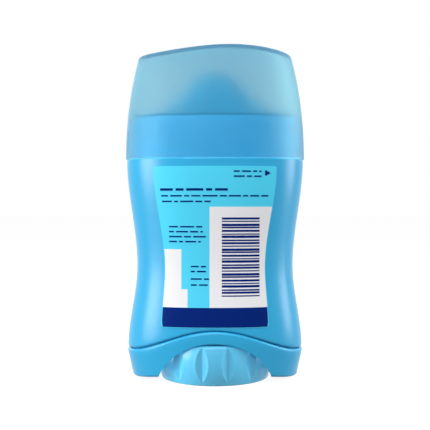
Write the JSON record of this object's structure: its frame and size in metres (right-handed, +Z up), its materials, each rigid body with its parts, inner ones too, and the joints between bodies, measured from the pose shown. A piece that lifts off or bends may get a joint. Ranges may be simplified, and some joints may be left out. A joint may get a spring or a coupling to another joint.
{
  "type": "deodorant stick",
  "caption": "Twist-up deodorant stick in a waisted oval plastic pack with a frosted over-cap, a wave-shaped base joint and a fluted hand wheel.",
  "frame": {"origin": "middle of the dial's flat underside, on which the pack stands", "axes": "+Z up along the screw, +X along the width of the oval, -Y out of the side with the label"},
  "size_m": [0.0556, 0.0352, 0.1017],
  "materials": {
    "frosted_cap": "frosted translucent polypropylene",
    "seal_blue": "thin blue polypropylene",
    "deodorant": "waxy white solid",
    "natural_plastic": "natural polypropylene",
    "pack_blue": "satin pearly blue polypropylene",
    "dial_blue": "satin light blue polypropylene",
    "label_film": "printed gloss film with plain fields of colour"
  },
  "bodies": {
    "barrel": {"barrel": "pack_blue", "base": "pack_blue", "back_label": "label_film"},
    "dial": {"dial": "dial_blue"},
    "carrier": {"elevator": "natural_plastic", "stick": "deodorant"},
    "seal": {"seal_dome": "seal_blue"},
    "cap": {"cap": "frosted_cap"}
  },
  "joints": [
    {"name": "dial_turn", "type": "hinge", "parent": "barrel", "child": "dial", "pos_m": [0, 0, 0], "axis": [0, 0, 1], "range_deg": [0, 4500]},
    {"name": "stick_rise", "type": "slide", "parent": "barrel", "child": "carrier", "axis": [0, 0, 1], "range_m": [0, 0.05]},
    {"name": "seal_lift", "type": "slide", "parent": "carrier", "child": "seal", "axis": [0, 0, 1], "range_m": [0, 0.02]},
    {"name": "cap_lift", "type": "slide", "parent": "seal", "child": "cap", "axis": [0, 0, 1], "range_m": [0, 0.04]}
  ],
  "couplings": [
    {"joint": "dial_turn", "follows": "stick_rise", "rad_per_m": 1570.8}
  ]
}
